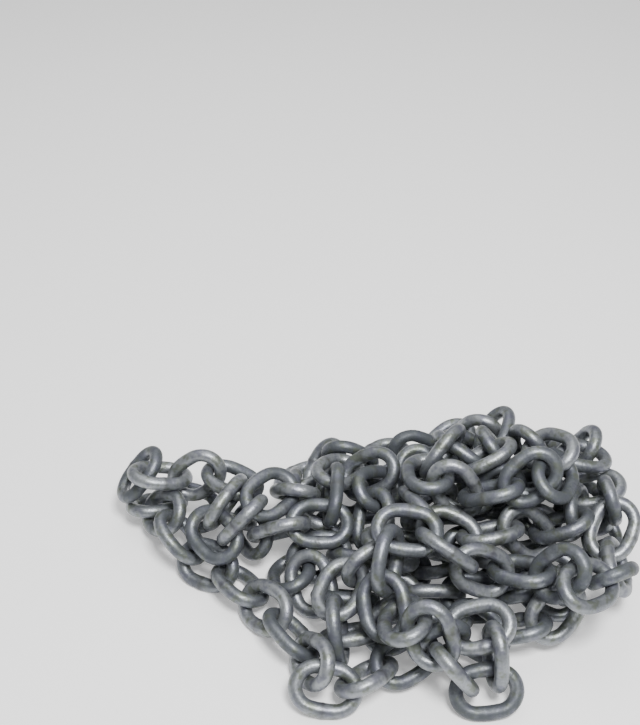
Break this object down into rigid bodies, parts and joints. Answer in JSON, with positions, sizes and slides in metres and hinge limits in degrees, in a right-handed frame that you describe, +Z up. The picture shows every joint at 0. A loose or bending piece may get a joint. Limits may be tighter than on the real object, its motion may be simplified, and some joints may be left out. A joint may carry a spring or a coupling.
{
  "type": "heap of anchor chain",
  "caption": "Length of galvanised short-link anchor chain lying in a loose heap, with one end link lying free at the left.",
  "frame": {"origin": "middle of the heap's bounding box, at floor level", "axes": "+X along the heap's longest side, from the free end link towards the round end of the heap; +Y to the back, as the picture shows it; +Z up"},
  "size_m": [0.2966, 0.2002, 0.082],
  "materials": {
    "galvanised_steel": "hot-dip galvanised, dull satin"
  },
  "bodies": {
    "root": {"outboard_end_link": "galvanised_steel", "link_run_01": "galvanised_steel", "link_run_02": "galvanised_steel", "link_run_03": "galvanised_steel", "link_run_04": "galvanised_steel", "link_run_05": "galvanised_steel", "link_run_06": "galvanised_steel", "link_run_07": "galvanised_steel", "link_run_08": "galvanised_steel", "link_run_09": "galvanised_steel", "link_run_10": "galvanised_steel", "link_run_11": "galvanised_steel", "link_run_12": "galvanised_steel", "link_run_13": "galvanised_steel", "link_run_14": "galvanised_steel", "link_run_15": "galvanised_steel", "link_run_16": "galvanised_steel", "link_run_17": "galvanised_steel", "link_run_18": "galvanised_steel", "link_run_19": "galvanised_steel", "link_run_20": "galvanised_steel", "link_run_21": "galvanised_steel", "link_run_22": "galvanised_steel", "link_run_23": "galvanised_steel", "link_run_24": "galvanised_steel", "link_run_25": "galvanised_steel", "link_run_26": "galvanised_steel", "link_run_27": "galvanised_steel", "link_run_28": "galvanised_steel", "link_run_29": "galvanised_steel", "link_run_30": "galvanised_steel", "link_run_31": "galvanised_steel", "link_run_32": "galvanised_steel", "link_run_33": "galvanised_steel", "link_run_34": "galvanised_steel", "link_run_35": "galvanised_steel", "link_run_36": "galvanised_steel", "link_run_37": "galvanised_steel", "link_run_38": "galvanised_steel", "link_run_39": "galvanised_steel", "link_run_40": "galvanised_steel", "link_run_41": "galvanised_steel", "link_run_42": "galvanised_steel", "link_run_43": "galvanised_steel", "link_run_44": "galvanised_steel", "link_run_45": "galvanised_steel", "link_run_46": "galvanised_steel", "link_run_47": "galvanised_steel", "link_run_48": "galvanised_steel", "link_run_49": "galvanised_steel", "link_run_50": "galvanised_steel", "link_run_51": "galvanised_steel", "link_run_52": "galvanised_steel", "link_run_53": "galvanised_steel", "link_run_54": "galvanised_steel", "link_run_55": "galvanised_steel", "inboard_end_link": "galvanised_steel"}
  },
  "joints": []
}
